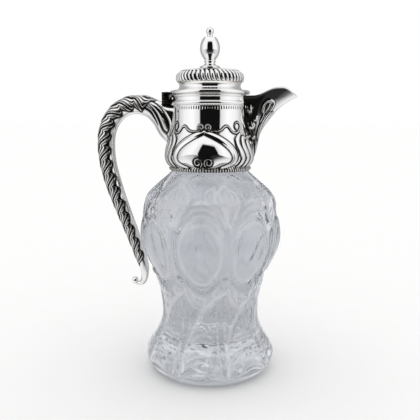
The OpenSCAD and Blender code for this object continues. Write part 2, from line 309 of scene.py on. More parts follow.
# A block between two corners, with rounded edges when bevel isn't 0
def softBlock(low, high, bevel):
    corners = [(x, y, z) for x in (low[0], high[0]) for y in (low[1], high[1]) for z in (low[2], high[2])]
    work = bmesh.new()
    made = [work.verts.new(np.array(corner) * mm) for corner in corners]
    for quad in ((0, 1, 3, 2), (4, 6, 7, 5), (0, 4, 5, 1), (2, 3, 7, 6), (0, 2, 6, 4), (1, 5, 7, 3)):
        work.faces.new([made[k] for k in quad])
    bmesh.ops.recalc_face_normals(work, faces=work.faces)
    if bevel:
        bmesh.ops.bevel(work, geom=work.edges[:], offset=bevel * mm, segments=3, affect="EDGES", profile=0.5)
    mesh = bpy.data.meshes.new("block")
    work.to_mesh(mesh)
    work.free()
    return mesh


# ---------- materials ----------

def sheen(hexColour):            # sRGB hex to the linear colour that the shader wants
    parts = [int(hexColour[k:k + 2], 16) / 255 for k in (1, 3, 5)]
    return tuple(c / 12.92 if c <= 0.04045 else ((c + 0.055) / 1.055) ** 2.4 for c in parts) + (1.0,)


def setInputs(tree, node, inputs=None, links=None):
    for key, value in (inputs or {}).items():
        node.inputs[key].default_value = value
    for key, source in (links or {}).items():
        tree.links.new(source, node.inputs[key])


def addNode(tree, kind, inputs=None, links=None, **settings):
    made = tree.nodes.new("ShaderNode" + kind)
    for key, value in settings.items():
        setattr(made, key, value)
    setInputs(tree, made, inputs, links)
    return made


def addNoise(tree, vector, scale, detail, rough=0.5):
    made = addNode(tree, "TexNoise", {"Scale": scale, "Detail": detail, "Roughness": rough},
                   {"Vector": vector})
    return made.outputs["Fac"]


def addRange(tree, value, low, high, start=0.0, finish=1.0):  # start..finish becomes low..high
    made = addNode(tree, "MapRange", {"From Min": start, "From Max": finish, "To Min": low, "To Max": high},
                   {"Value": value})
    return made.outputs["Result"]


def addRamp(tree, value, stops):  # stops are (position, sRGB hex)
    made = addNode(tree, "ValToRGB", links={"Fac": value})
    row = made.color_ramp.elements
    for k, (at, colour) in enumerate(stops):
        stop = row[k] if k < len(row) else row.new(at)
        stop.position, stop.color = at, sheen(colour)
    return made.outputs["Color"]


def addBump(tree, height, depth, strength=1.0):
    made = addNode(tree, "Bump", {"Strength": strength, "Distance": depth}, {"Height": height})
    return made.outputs["Normal"]


def emptyMaterial(name):
    material = bpy.data.materials.new(name)
    material.use_nodes = True
    material.node_tree.nodes.clear()
    return material, material.node_tree


def newMaterial(name):
    material, tree = emptyMaterial(name)
    shader = addNode(tree, "BsdfPrincipled")
    addNode(tree, "OutputMaterial", links={"Surface": shader.outputs[0]})
    return material, tree, shader, addNode(tree, "TexCoord").outputs["Object"]


# Sterling silver, hand polished: mirror bright, with black oxide left in the chased hollows; the same dark
# mark also paints shade on the hinge and along the handle's leaf edge
silverFinish = {
    "stops": [(0.0, "#F6F4F0"), (0.85, "#15130F"), (0.35, "#6F6B64")],  # bare metal, full oxide and painted shade, half of both
    "oxideRough": 0.35, "patches": 900.0,
    "polish": (0.025, 0.07),     # least and most roughness
    "scratchMm": 0.35,           # polishing marks, drawn coarser than the real 0.02 mm to show at all
    "waveMm": 14.0, "waveDepthMm": 0.02,  # slow unevenness of hand-raised sheet
}


def polishedSilver():
    f = silverFinish
    material, tree, shader, place = newMaterial("polishedSilver")
    marks = addNoise(tree, place, 1 / (f["scratchMm"] * mm), 4.0, 0.6)
    polish = addRange(tree, marks, *f["polish"], 0.3, 0.7)
    # this dark mark holds oxide in the hollows and painted shade on the hinge and beside the handle's leaves
    darkening = addNode(tree, "Attribute", attribute_name="tarnishAndShade").outputs["Fac"]
    patchy = addRange(tree, addNoise(tree, place, f["patches"], 3.0), 0.75, 1.15, 0.35, 0.65)
    amount = addNode(tree, "Math", links={0: darkening, 1: patchy}, operation="MULTIPLY", use_clamp=True)
    colour = addRamp(tree, amount.outputs[0], f["stops"])
    dull = addNode(tree, "Math", {1: f["oxideRough"]}, {0: amount.outputs[0]}, operation="MULTIPLY")
    rough = addNode(tree, "Math", links={0: polish, 1: dull.outputs[0]}, operation="ADD")
    wave = addNoise(tree, place, 1 / (f["waveMm"] * mm), 1.0)
    setInputs(tree, shader, {"Metallic": 1.0},
              {"Base Color": colour, "Roughness": rough.outputs[0],
               "Normal": addBump(tree, wave, f["waveDepthMm"] * mm)})
    return material


# Silver wire as drawn: greyer and streaked along its length
def drawnSilver():
    material, tree, shader, place = newMaterial("drawnSilver")
    stretch = addNode(tree, "Mapping", {"Scale": (4000.0, 400.0, 4000.0)}, {"Vector": place})
    streak = addNoise(tree, stretch.outputs["Vector"], 1.0, 3.0)
    setInputs(tree, shader, {"Metallic": 1.0},
              {"Base Color": addRamp(tree, streak, [(0.0, "#8D8A84"), (1.0, "#D9D6D0")]),
               "Roughness": addRange(tree, streak, 0.18, 0.4)})
    return material


# Lead crystal, blown, cut and polished: clear with a cool cast and faint draw lines from blowing.
# The engraved strokes keep a slight white bloom, which also paints in the highlights their flanks catch, so
# they read as pale lines.
crystalFinish = {"tint": "#FCFCFD", "ior": 1.54, "haze": 0.04, "drawMm": 16.0, "drawDepthMm": 0.008,
                 "bloomAndGlint": 0.3}


def cutCrystal():
    f = crystalFinish
    material, tree, shader, place = newMaterial("cutCrystal")
    stretch = addNode(tree, "Mapping", {"Scale": (1.0, 1.0, 0.3)}, {"Vector": place})
    draw = addNoise(tree, stretch.outputs["Vector"], 1 / (f["drawMm"] * mm), 1.5)
    frostAndGlint = addNode(tree, "Attribute", attribute_name="frostAndGlint").outputs["Fac"]
    setInputs(tree, shader, {"Base Color": sheen(f["tint"]), "IOR": f["ior"], "Roughness": f["haze"]},
              {"Normal": addBump(tree, draw, f["drawDepthMm"] * mm),
               "Transmission Weight": addRange(tree, frostAndGlint, 1.0, 1 - f["bloomAndGlint"])})
    return material


# Plaster of Paris: matt, chalky white with fine pores
def plasterFill():
    material, tree, shader, place = newMaterial("plasterFill")
    grain = addNoise(tree, place, 1500.0, 5.0)
    setInputs(tree, shader, {"Roughness": 0.9},
              {"Base Color": addRamp(tree, grain, [(0.0, "#CFCBC0"), (1.0, "#EFECE4")]),
               "Normal": addBump(tree, grain, 0.2 * mm, 0.4)})
    return material


silver = polishedSilver()
wire = drawnSilver()
crystal = cutCrystal()
plaster = plasterFill()
print("materials made")


# ---------- glass body ----------

glassShape = {
    "footR": 55.8, "baseR": 46.5, "waistR": 41.5, "waistZ": 51.0, "bellyR": 60.4, "bellyZ": 120.0,
    "neckR": 28.8, "boreR": 24.4, "topZ": 212.0, "floorZ": 31.0, "wall": 5.2,
    "panels": 8, "sectorCols": 50, "rows": 216,
    "ovalZ": 110.3, "ovalHalfW": 17.8, "ovalHalfH": 24.6, "lensRise": 1.5, "ground": 1.6, "cutDepth": 0.9,
    "strokeWider": 1.45, "strokeDepth": 1.35, "polish": 3, "starPoints": 24, "starDepth": 1.0,
    "edgeWave": 2.4,             # how far the foot's edge rises and dips round the jug
}


def glassOutline(g):
    base, foot, waist, belly, neck = (g[k] for k in ("baseR", "footR", "waistR", "bellyR", "neckR"))
    side = join(
        (base + 2.5, 2.0),
        bend((base + 5.3, 4.4), (foot - 1.2, 7.5), (foot, 10), (foot, 12.5), 10),
        swell((foot, 12.5), (waist, g["waistZ"]), 0.25, 0.45, 40)[1:],
        swell((waist, g["waistZ"]), (belly, g["bellyZ"]), 0.46, 0.3, 60)[1:],
        bend((belly, g["bellyZ"]), (belly, g["bellyZ"] + 14), (belly - 2.8, 143), (belly - 4.6, 148), 16)[1:],
        bend((belly - 5.3, 150), (belly - 8.4, 157), (neck + 9.2, 166), (neck + 2.6, 174), 30),
    )
    under = join([(1.5, 0.05), (base - 4, 0.05), (base - 1.5, 0), (base, 0)], (base + 1.4, 0.8))
    neckPart = join((neck + 0.6, 178), (neck, 181), (neck, g["topZ"] - 1), (neck - 0.8, g["topZ"]))
    underRows, neckRows = 24, 10
    return join(evenly(under, underRows), evenly(side, g["rows"] + 1 - underRows - neckRows),
                evenly(neckPart, neckRows))


def glassInside(g, count):
    w, b = g["waistR"] - g["wall"], g["bellyR"] - g["wall"]
    line = join(
        (1.5, g["floorZ"]), (w - 5, g["floorZ"]),
        bend((w - 3, g["floorZ"] + 0.4), (w - 0.8, g["floorZ"] + 1.4), (w, g["floorZ"] + 4),
             (w, g["floorZ"] + 9), 5),
        swell((w, 53), (b, g["bellyZ"]), 0.46, 0.3, 30),
        bend((b, g["bellyZ"]), (b, g["bellyZ"] + 36), (g["boreR"] + 6, 164), (g["boreR"], 180), 30)[1:],
        (g["boreR"], g["topZ"] - 1), (g["boreR"] + 0.8, g["topZ"]),
    )
    return evenly(line, count)


# Everything cut into one of the eight panels; lines are in degrees from the oval's middle and mm up
def cutPanel(g, u, z):
    sheet = blankSheet(u, z)
    toMm = math.radians(1) * g["bellyR"]
    pitch = 360 / g["panels"] * toMm
    rho = np.hypot(u / g["ovalHalfW"], (z - g["ovalZ"]) / g["ovalHalfH"])
    # the ground between the ovals lies lower than the lenses left standing in them
    ground = ease(rho, 0.97, 1.08) * ease(z, 78, 92) * (1 - ease(z, 132, 150))
    sheet["height"] += 0.3 - g["ground"] * ground - g["lensRise"] * np.clip(rho, 0, 1) ** 2
    sheet["height"] += g["lensRise"] * ease(rho, 1.0, 1.5)
    sheet["height"] -= g["cutDepth"] * peak(rho, 1.02, 0.045)
    # pale frost along the oval's cut outline, partly a painted highlight
    sheet["dark"] += 0.65 * peak(rho, 1.02, 0.05)
    sheet["height"] += 0.6 * peak(rho, 1.12, 0.05)
    sheet["height"] -= 0.5 * peak(rho, 1.22, 0.045) * ease(pitch / 2 - np.abs(u), 1.5, 4)

    def cut(lines, half, depth, taper=0.25):
        for line in lines:
            line = np.array(line, float) * (toMm, 1)
            for shift in (-pitch, 0, pitch):
                groove(sheet, flowing(line, 6) + (shift, 0), half * g["strokeWider"],
                       depth * g["strokeDepth"], taper)

    # brows over the oval, which run down into the stem on its right
    cut([[(-15.5, 124), (-12, 134), (-4, 141), (5, 141.4), (12, 137), (16.5, 128), (18.6, 114)],
         [(-13.5, 138), (-6, 146), (3, 147.6), (10, 144.4), (15, 137), (18, 127)],
         [(-8, 150.5), (0, 153), (8, 151), (13.5, 144)]], 1.25, 0.5)
    # palmette over the gap: five ribs under a scalloped top
    cut([[(22.5, 139), (22.5 + 1.6 * k, 146), (22.5 + 4.0 * k, 153 - 0.2 * k * k),
          (22.5 + 5.2 * k, 159.5 - 0.9 * k * k)] for k in (-2, -1, 0, 1, 2)], 1.3, 0.5, 0.15)
    cut([[(11, 153), (13.5, 158.5), (17.5, 161)], [(17.5, 161), (20, 163), (25, 163), (27.5, 161)],
         [(27.5, 161), (31.5, 158.5), (34, 153)]], 1.0, 0.45, 0.5)
    cut([[(20.5, 133), (18, 140), (14, 147), (10.8, 153)], [(24.5, 133), (27, 140), (31, 147), (34.2, 153)],
         [(22.5, 139), (22.5, 133)]], 1.2, 0.6)
    # long stem that sweeps from the bead down to the foot, and the leaf beside it
    cut([[(25, 77), (13, 70), (1, 61.5), (-8, 51), (-14.5, 39), (-18.5, 27), (-21, 14)]], 1.7, 0.7, 0.3)
    cut([[(29, 80), (17, 74), (5, 66), (-4, 56)]], 0.9, 0.35)
    cut([[(-19, 85), (-16.5, 74), (-11, 66.5), (-3, 62.5)], [(-15, 83), (-10, 76.5), (-3, 73), (5, 72)],
         [(-3, 62.5), (2, 65.5), (1, 69), (5, 72)], [(-12, 75), (-7, 70), (-2, 67)],
         [(16, 83), (12, 77), (14, 73.5), (18, 75.5), (17, 79)]], 1.0, 0.45)
    # plume on the foot: arches inside one another that spring from the stem
    for k in range(5):
        top = 42 - 5.2 * k
        rise = top - 13
        cut([[(-20.5 + 0.7 * k, 13), (-17 + 0.7 * k, 13 + 0.52 * rise), (-9 + 0.4 * k, 13 + 0.88 * rise),
              (0, top), (8 - 0.3 * k, top - 1.6), (12.5 - 0.6 * k, top - 7 + 0.4 * k)]], 0.95, 0.38, 0.3)
    # stem between ovals, bead under it, and the rib between two channels on waist and foot
    off = np.minimum(np.abs(u - pitch / 2), np.abs(u + pitch / 2))
    stem = ease(z, 92, 98) * (1 - ease(z, 128, 136))
    sheet["height"] += stem * (1.2 * peak(off, 0, 1.3) - 0.4 * peak(off, 2.8, 0.8))
    r = np.hypot(off, z - 88.6)
    sheet["height"] += 1.6 * np.sqrt(np.clip(1 - (r / 3.6) ** 2, 0, 1)) - 0.6 * peak(r, 4.3, 0.8)
    rib = ease(z, 11, 18) * (1 - ease(z, 62, 76))
    sheet["height"] += rib * (1.1 * peak(off, 0, 2.1) - 0.8 * peak(off, 4.4, 1.7))
    # the second grid is the pale frost of the cuts, which also paints in their highlights
    return acidPolish(sheet["height"], g["polish"]), acidPolish(sheet["dark"], 1)


def acidPolish(height, rounds):  # rounds off the cut edges, as the polishing bath does
    for _ in range(rounds):
        height = (np.roll(height, 1, 1) + 2 * height + np.roll(height, -1, 1)) / 4
        middle = (height[:-2] + 2 * height[1:-1] + height[2:]) / 4
        height = np.vstack([height[:1], middle, height[-1:]])
    return height


def makeGlass():
    g = glassShape
    outline = glassOutline(g)
    cols = g["sectorCols"]
    sector = np.linspace(-180 / g["panels"], 180 / g["panels"], cols, endpoint=False)
    toMm = math.radians(1) * g["bellyR"]
    u, z = np.meshgrid(sector * toMm, outline[:, 1])
    height, frostAndGlint = cutPanel(g, u, z)
    wave = np.cos(np.radians(sector) * g["panels"])[None, :]
    rCol, zCol = column(outline[:, 0]), column(outline[:, 1])
    lobes = -1.0 * (1 - wave) / 2 * ease(zCol, 4, 14) * (1 - ease(zCol, 75, 110))
    above = (zCol > 3) & (zCol < 171)
    radius = rCol + np.where(above, height * ease(zCol, 6, 16) * (1 - ease(zCol, 163, 171)) + lobes, 0)
    lift = g["edgeWave"] * wave * ease(zCol, 3, 12.5) * (1 - ease(zCol, 12.5, 34))
    star = np.abs(2 * ((sector * g["starPoints"] / 360) % 1) - 1)[None, :]
    starCut = g["starDepth"] * star * ease(rCol, 2, 12) * (1 - ease(rCol, 38, 45)) * (zCol < 1)
    level = zCol + lift + starCut
    turns = np.radians(np.arange(cols * g["panels"]) * 360 / (cols * g["panels"]) - 90 - 180 / g["panels"])
    radius, level, frostAndGlint = (np.tile(part, (1, g["panels"])) for part in (radius, level, frostAndGlint))
    outer = around(radius, turns, level)
    inside = glassInside(g, g["rows"] // 4 + 1)
    coarse = turns[::4]
    ripple = 1 - 0.02 * (1 - np.cos((coarse + np.pi / 2) * g["panels"])) / 2
    shrink = ripple[None, :] ** (1 - ease(inside[:, 1], 150, 170))[:, None]
    inner = around(column(inside[:, 0]) * shrink, coarse, column(inside[:, 1]))
    points, faces = thickSheet(outer, inner, True, capLow=True)
    # white frost in the strokes, partly a painted highlight, faded out at the foot
    frostAndGlint = np.clip(frostAndGlint * ease(zCol, 4, 10), 0, 1)
    marks = {"frostAndGlint": np.r_[frostAndGlint.ravel(), np.zeros(len(points) - frostAndGlint.size)]}
    return addPiece("glassBody", points, faces, "jug", crystal, ("glass_body",), marks, 0)


makeGlass()
print("glass cut")


# ---------- collar ----------

collarShape = {
    "lowZ": 174.6, "mouthZ": 235.7, "neckR": 30.9, "bulgeR": 37.4, "sheet": 1.2,
    "cols": 608, "rows": 148, "notchZ": 210.0,
}


def collarOutline(c):
    foot, bulge, neck = (33.2, c["lowZ"] + 2), (c["bulgeR"], 186), (c["neckR"], 217)
    return join((foot[0] - 0.4, c["lowZ"]),
                bend(foot, (foot[0] + 2.6, foot[1] + 2), (bulge[0], bulge[1] - 5), bulge, 20),
                swell(bulge, neck, 0.45, 0.4, 40)[1:], (c["neckR"], c["mouthZ"]))


# Chased ornament of the collar, the same on front and back; across in degrees from the front
def chaseCollar(sheet, deg):
    def line(points):
        p = np.array(points, float)
        p[:, 0] *= deg
        return flowing(p, 7)

    right = dict(sheet, u=np.abs(sheet["u"]))  # both halves at once
    ribbonLine = line([(-3, 206.2), (2, 204.8), (12, 202.4), (21, 199.6), (29, 196.2), (35.4, 192.2),
                       (39, 188), (39.4, 184.6), (37, 181.6), (31, 179.2), (23, 177.8)])
    # smooth pear-shaped boss inside the ribbons
    outline = np.vstack([ribbonLine, [(0, 176)], [(-3 * deg, 206)]])
    inside = insideOf(right, outline)
    near, gap, _, _ = nearLine(right, ribbonLine, 60)
    dome = np.zeros(right["u"].shape)
    dome[near] = 4.2 * (1 - (1 - np.clip(gap / 16, 0, 1)) ** 2)
    base = 1 - ease(-right["z"], -180, -176.5)
    right["height"] += np.where(inside, dome * base, 0)
    # bands that rise from the foot towards the spout and the handle
    for shift, top in ((0, 204), (10, 200), (20, 201)):
        stroke = [(53, top), (48, 201), (45.5, 197.5), (47, 193.5), (51, 189), (53.4, 185), (51.5, 181.5),
                  (46, 178.4)]
        band(right, line(np.array(stroke) + (shift, 0)), 2.6, 1.0)
    # ribbons of the pear
    band(right, ribbonLine, 2.9, 1.4, taper=0.35, lines=1, edge=0.5)
    groove(right, line([(44, 203), (41, 200), (42, 196), (45, 192), (46.4, 187.6), (44.6, 183), (40, 179.6)]),
           0.45, 0.3)
    # scrolls at the top and the foot of the pear
    for centre, size, start, finish in (((4.6, 209), 2.9, -100, 400), ((6.4, 182.4), 3.3, -120, -640)):
        middle = (centre[0] * deg, centre[1])
        band(right, spiral(middle, (size, 0.7), (start, finish), 40), 0.85, 1.1, taper=0.5)
    # tendrils
    band(right, line([(6, 206.4), (14, 205.8), (20, 206.2), (24.5, 207.4), (28.5, 209.4), (32, 210.2),
                      (35.4, 209.2), (39, 206.2), (43, 204.8), (48, 204.9), (53, 206.8), (56, 209.6),
                      (55, 212.2), (51, 213.2), (47, 212), (45.6, 209.4), (47.6, 207.4)]), 0.8, 0.85, 0.55)
    # leaf that spreads from the handle's root
    left = dict(sheet, u=-sheet["u"])
    for k, lean in enumerate((0, 5, 10)):
        band(left, line([(58 + lean, 224 - 3 * k), (61 + lean, 214), (66 + lean, 205), (74 + lean, 197)]),
             1.6, 0.8, taper=0.25)
    # row of punched ticks under the wire
    tick = np.cos(sheet["tick"])
    row = np.exp(-((sheet["z"] - 224.6) / 1.1) ** 4)
    sheet["height"] -= 0.22 * row * ease(tick, 0.2, 0.8)
    sheet["dark"][:] = np.maximum(sheet["dark"], 0.55 * row * ease(tick, 0.35, 0.9))


def makeCollar():
    c = collarShape
    outline = evenly(collarOutline(c), c["rows"] + 1)
    cols = c["cols"]
    flat = np.linspace(-180, 180, cols, endpoint=False)     # 0 towards the spout
    half = flat[np.argmin(np.abs(flat - 10)) // 4 * 4]      # the notch starts at this column
    z = outline[:, 1]
    opening = 10 + 6 * ease(z, c["notchZ"], c["notchZ"] + 4) + 1.5 * ease(z, c["notchZ"] + 2, 232)
    turn = np.array([np.interp(flat, [-180, -62, -half, half, 62, 180], [-180, -62, -w, w, 62, 180])
                     for w in opening])
    zGrid = z[:, None] + 0 * turn
    x, y = np.cos(np.radians(turn)), np.sin(np.radians(turn))
    deg = math.radians(1) * 34
    sheet = blankSheet(np.degrees(np.arctan2(x, np.abs(y))) * deg, zGrid)
    sheet["tick"] = np.radians(turn) * 88
    chaseCollar(sheet, deg)
    fade = ease(zGrid, c["lowZ"] + 1, c["lowZ"] + 3)
    r, up = pushedOut(outline, sheet["height"] * fade)
    outer = np.stack([r * x, r * y, up], -1)
    rIn = outline[::4, 0][:, None] - c["sheet"] + 0 * turn[::4, ::4]
    inner = np.stack([rIn * x[::4, ::4], rIn * y[::4, ::4], zGrid[::4, ::4]], -1)
    keep = np.ones((c["rows"] // 4, cols // 4), bool)
    mid = flat[::4] + (flat[4] - flat[0]) / 2
    low = np.arange(c["rows"] // 4) * 4
    keep[np.ix_(z[low] >= c["notchZ"], np.abs(mid) < half)] = False
    points, faces = thickSheet(outer, inner, True, keep)
    dark = np.r_[(sheet["dark"] * fade).ravel(), np.zeros(rIn.size)]
    points, faces, marks = dropLoose(points, faces, {"tarnishAndShade": dark})
    return addPiece("chasedCollar", points, faces, "jug", silver, ("collar",), marks, sharp=50)


makeCollar()
print("collar chased")


def collarRadius(z):
    line = collarOutline(collarShape)
    return np.interp(z, line[:, 1], line[:, 0])


# A ring with a D-shaped section between two angles; its ends taper when asked
def halfRoundRing(name, z, size, angles, replaces, taper, steps=200, sides=17):
    turns = np.radians(np.linspace(angles[0], angles[1], steps))
    share = np.linspace(0, 1, steps)
    grow = np.minimum(1, np.minimum(share / 0.05 * 0.9 + taper[0], (1 - share) / 0.05 * 0.9 + taper[1]))
    section = np.radians(np.linspace(-90, 90, sides))
    r = collarShape["neckR"] + 1.1 * size * column(grow) * np.cos(section) - 0.15
    points = around(r, column(turns), z + size * column(grow) * np.sin(section))
    addPiece(name, points.reshape(-1, 3), tubeFaces(steps - 1, sides), "jug", silver, replaces)


wireShape = {
    "neckZ": 228.6, "neckSize": 2.1, "mouthZ": 234.5, "mouthSize": 1.2,
    "footR": 33.0, "footZ": 175.0, "footSize": 1.4, "tooth": 0.4, "teeth": 95,
}


def makeWires():
    w = wireShape
    halfRoundRing("neckWireFront", w["neckZ"], w["neckSize"], (197, 336), ("neck_wire_front",), (0.05, 0.6))
    halfRoundRing("neckWireBack", w["neckZ"], w["neckSize"], (163, 24), ("neck_wire_back",), (0.05, 0.6))
    halfRoundRing("mouthWire", w["mouthZ"], w["mouthSize"], (24, 336), ("mouth_wire",), (0.6, 0.6), 300)
    # toothed wire at the collar's foot
    turns, section = column(fullTurn(w["teeth"] * 8)), fullTurn(20)
    tooth = ease(np.cos(turns * w["teeth"]), -0.5, 0.4)
    side = np.clip(np.cos(section), 0, 1) ** 0.5
    r = w["footR"] + (w["footSize"] + w["tooth"] * tooth * side) * np.cos(section)
    up = w["footZ"] + (w["footSize"] + 0.1 + 0.1 * tooth) * np.sin(section)
    faces = gridFaces(len(turns) - 1, 20, True, loop=True)
    dark = (1 - tooth) * side * 0.85
    addPiece("footWire", around(r, turns, up).reshape(-1, 3), faces, "jug", silver, ("collar_foot_wire",),
             {"tarnishAndShade": dark.ravel()}, sharp=0)


makeWires()


def makeCement():                # same turned shape as the solid that it stands for
    c = collarShape
    line = collarOutline(c)
    line = line[line[:, 1] <= 212] - (c["sheet"] + 0.1, 0)
    lathe("neckCement", join(line, (29.6, 212), (28.85, 212), (28.85, 181), (29.6, 178), (31.6, 174.9)),
          "jug", plaster, ("neck_cement",))


makeCement()
print("wires and plaster made")


# ---------- spout ----------

spoutShape = {
    "reach": 72.2, "rootHalfW": 12.0, "lipHalfW": 5.5, "crestZ": 241.6, "sheet": 1.2,
    "rows": 176, "cols": 128, "rootX": 25.0,
}


def spoutKeel(s):
    return join(bend((30, 176), (37.5, 178), (39.2, 190), (41.2, 200), 10),
                bend((41.9, 202.6), (44, 209), (48, 213), (55, 222), 10),
                bend((57, 224), (61, 227.5), (66, 231), (s["reach"], 233.5), 10))


def spoutRim(s):
    top = s["crestZ"]
    return join((20, 234.6), (34, 234.6), bend((38, 234.7), (46, 236), (49, top), (59, top), 10),
                bend((61, top), (65, top - 0.4), (69, 237), (s["reach"], 234.4), 10))


def spoutPoint(s, x, u, inset=0.0):
    share = np.clip((x - s["rootX"]) / (s["reach"] + 0.4 - s["rootX"]), 0, 1)
    width = (s["rootHalfW"] * (1 - share) + s["lipHalfW"] * share) * np.sqrt(np.clip(1 - share ** 7, 0, 1))
    width = np.maximum(width - inset, 0.25)
    low = np.interp(x + inset, *spoutKeel(s).T) + 0.4 * inset
    high = np.interp(x, *spoutRim(s).T)
    full = 3.1 - 1.0 * ease(share, 0.3, 0.75)    # rounder flanks towards the lip
    return np.stack([x, width * u, low + (high - low) * np.abs(u) ** full], -1)


def spoutGrid(s, rows, cols, inset):
    u = np.linspace(-1, 1, cols + 1)
    u = np.sign(u) * np.abs(u) ** 0.85
    low, high = np.full(cols + 1, 24.0), np.full(cols + 1, 46.0)
    for _ in range(40):          # find where each strand leaves the collar's wall
        mid = (low + high) / 2
        p = spoutPoint(s, mid, u, inset)
        within = np.hypot(p[:, 0], p[:, 1]) < collarRadius(p[:, 2]) - 0.5
        low, high = np.where(within, mid, low), np.where(within, high, mid)
    t = np.linspace(0, 1, rows + 1)[:, None]
    x = low + (s["reach"] - inset - low) * (1 - (1 - t) ** 1.4)
    return spoutPoint(s, x, np.broadcast_to(u, x.shape), inset)


# Ornament on the spout's flanks, drawn in the side view (along X, up)
def chaseSpout(sheet):
    def line(points):
        return flowing(points, 7)

    loop = line([(42.5, 214), (45, 219.6), (44, 224), (45.4, 228), (48.4, 230.6), (51.4, 230.8),
                 (53.4, 228.8), (52.2, 225.4), (49.2, 221.4), (45.6, 216.8), (42.4, 211.6), (40.6, 206),
                 (39.6, 200), (38.6, 194)])
    band(sheet, loop, 1.0, 0.6, taper=0.6, lines=1, edge=0.3, dark=0.8)
    inner = line([(46.6, 219.8), (46.4, 224), (47.6, 227.4), (50, 228.6), (51.2, 227), (49.6, 223.6),
                  (47, 220), (44.6, 216.6)])
    groove(sheet, inner, 0.55, 0.5)
    for shift in (0.0, 1.7):     # twisted band beside the keel
        stroke = np.array([(50.5, 221.6), (46.8, 217), (43.8, 211.6), (42, 206), (40.6, 199)])
        band(sheet, line(stroke + (shift, 0)), 0.85, 0.5, taper=0.5, rope=1.5, edge=0.3, dark=0.7)
    for lean in (0, 2.4, 4.8):   # stems that climb from the foot
        band(sheet, line([(31.5 + lean, 179), (35 + lean * 0.7, 187), (34 + lean, 195), (33 + lean, 202),
                          (31 + lean, 208)]), 0.8, 0.5, taper=0.4)
    rosette(sheet, (33.4, 224.2), 3.4, 1.0)
    rosette(sheet, (35.2, 210.4), 3.3, 1.0)
    for tip in ((33.2, 203.4), (36.6, 201.2), (34.8, 196.6), (38.8, 215.8)):
        rosette(sheet, tip, 2.0, 0.7, petals=3)
    band(sheet, line([(29.6, 203), (28.8, 209), (29.6, 215), (32, 219)]), 0.6, 0.5, taper=0.5)


def makeSpout():
    s = spoutShape
    outer = spoutGrid(s, s["rows"], s["cols"], 0.0)
    inner = spoutGrid(s, s["rows"] // 4, s["cols"] // 4, s["sheet"])
    sheet = blankSheet(outer[..., 0], outer[..., 2])
    chaseSpout(sheet)
    along, across = np.gradient(outer, axis=0), np.gradient(outer, axis=1)
    normal = np.cross(along, across)
    normal /= np.maximum(np.linalg.norm(normal, axis=-1, keepdims=True), 1e-9)
    normal *= -np.sign(normal[..., 2].mean() or 1)
    x, z = outer[..., 0], outer[..., 2]
    below = np.interp(x, *spoutRim(s).T) - z
    aboveKeel = z - np.interp(x, *spoutKeel(s).T)
    fade = ease(below, 0.6, 2.2) * ease(aboveKeel, 0.6, 3.0)
    lip = 0.35 * peak(below, 0, 0.7)     # the edge is turned out into a fine bead
    outer = outer + normal * (sheet["height"] * fade + lip)[..., None]
    points, faces = thickSheet(outer, inner, False)
    dark = np.r_[(sheet["dark"] * fade).ravel(), np.zeros(inner.shape[0] * inner.shape[1])]
    return addPiece("raisedSpout", points, faces, "jug", silver, ("spout",), {"tarnishAndShade": dark}, sharp=50)


makeSpout()
print("spout raised")


# ---------- handle ----------

handleShape = {
    "reach": 90.0, "topZ": 227.4, "leafRise": 1.5, "leafPitch": 12.0, "veins": 3,
    "slant": 1.7,                # how many leaves a vein passes between flank and crest
    "edgeDeg": 96.0, "lobeDeg": 34.0, "rows": 440, "coreSides": 72, "leafCols": 96,
    "leafFrom": 24.0, "leafTo": 21.0,  # bare length at the root and at the tip
    "tipR": 3.1, "tipX": -67.4, "tipZ": 73.4,
    # half thickness in the plane of the handle, at shares of its points from root to tip
    "thickness": [(0, 19), (0.05, 15.5), (0.1, 11), (0.15, 8.6), (0.22, 7.3), (0.48, 6.9), (0.6, 6.5),
                  (0.7, 5.4), (0.81, 4.5), (0.87, 3.6), (1, 1.8)],
    "depth": [(0, 8.5), (0.2, 7), (0.6, 6.3), (0.86, 3.6), (1, 2)],
}


def handleLine(h):
    reach, top = h["reach"], h["topZ"]
    return join(bend((-28, 212), (-38, 214), (-46, top), (-62, top), 9),
                bend((-66, top - 0.2), (-79, top - 1.5), (-reach, 213), (-reach, 195), 9),
                bend((-reach, 190), (-reach, 160), (-61, 107), (-58.6, 84), 14),
                bend((-58.4, 80), (-58.4, 73.5), (-61, 70.5), (-66, 70.8), 5))


def handleRings(h, count):
    raw = handleLine(h)
    share = np.linspace(0, 1, len(raw))
    thick = np.interp(share, *np.array(h["thickness"], float).T)
    depth = np.interp(share, *np.array(h["depth"], float).T)
    fine = flowing(np.column_stack([raw, thick, depth]), 12)
    line = evenly(fine, count)
    step = np.gradient(line[:, :2], axis=0)
    step /= np.hypot(*step.T)[:, None]
    outward = np.stack([step[:, 1], -step[:, 0]], -1)
    run = np.r_[0, np.cumsum(np.hypot(*np.diff(line[:, :2], axis=0).T))]
    return line, outward, run


def handleSurface(line, outward, turn, rise):
    a, b = column(line[:, 2]) + rise, column(line[:, 3]) + rise
    x, z = (column(line[:, k]) + column(outward[:, k]) * a * np.cos(turn) for k in (0, 1))
    return np.stack([x, b * np.sin(turn), z], -1)


def leafEdge(h, run):            # leaf count along the handle, and where the sheath's edge lies in degrees
    phase = run / h["leafPitch"]
    at = (phase + h["slant"]) % 1
    start, finish = h["leafFrom"], run[-1] - h["leafTo"]
    ends = ease(run, start, start + 9) * (1 - ease(run, finish - 9, finish))
    edge = (h["edgeDeg"] + h["lobeDeg"] * np.sin(np.pi * at ** 0.62)) * (0.25 + 0.75 * ends)
    return phase, edge, ends


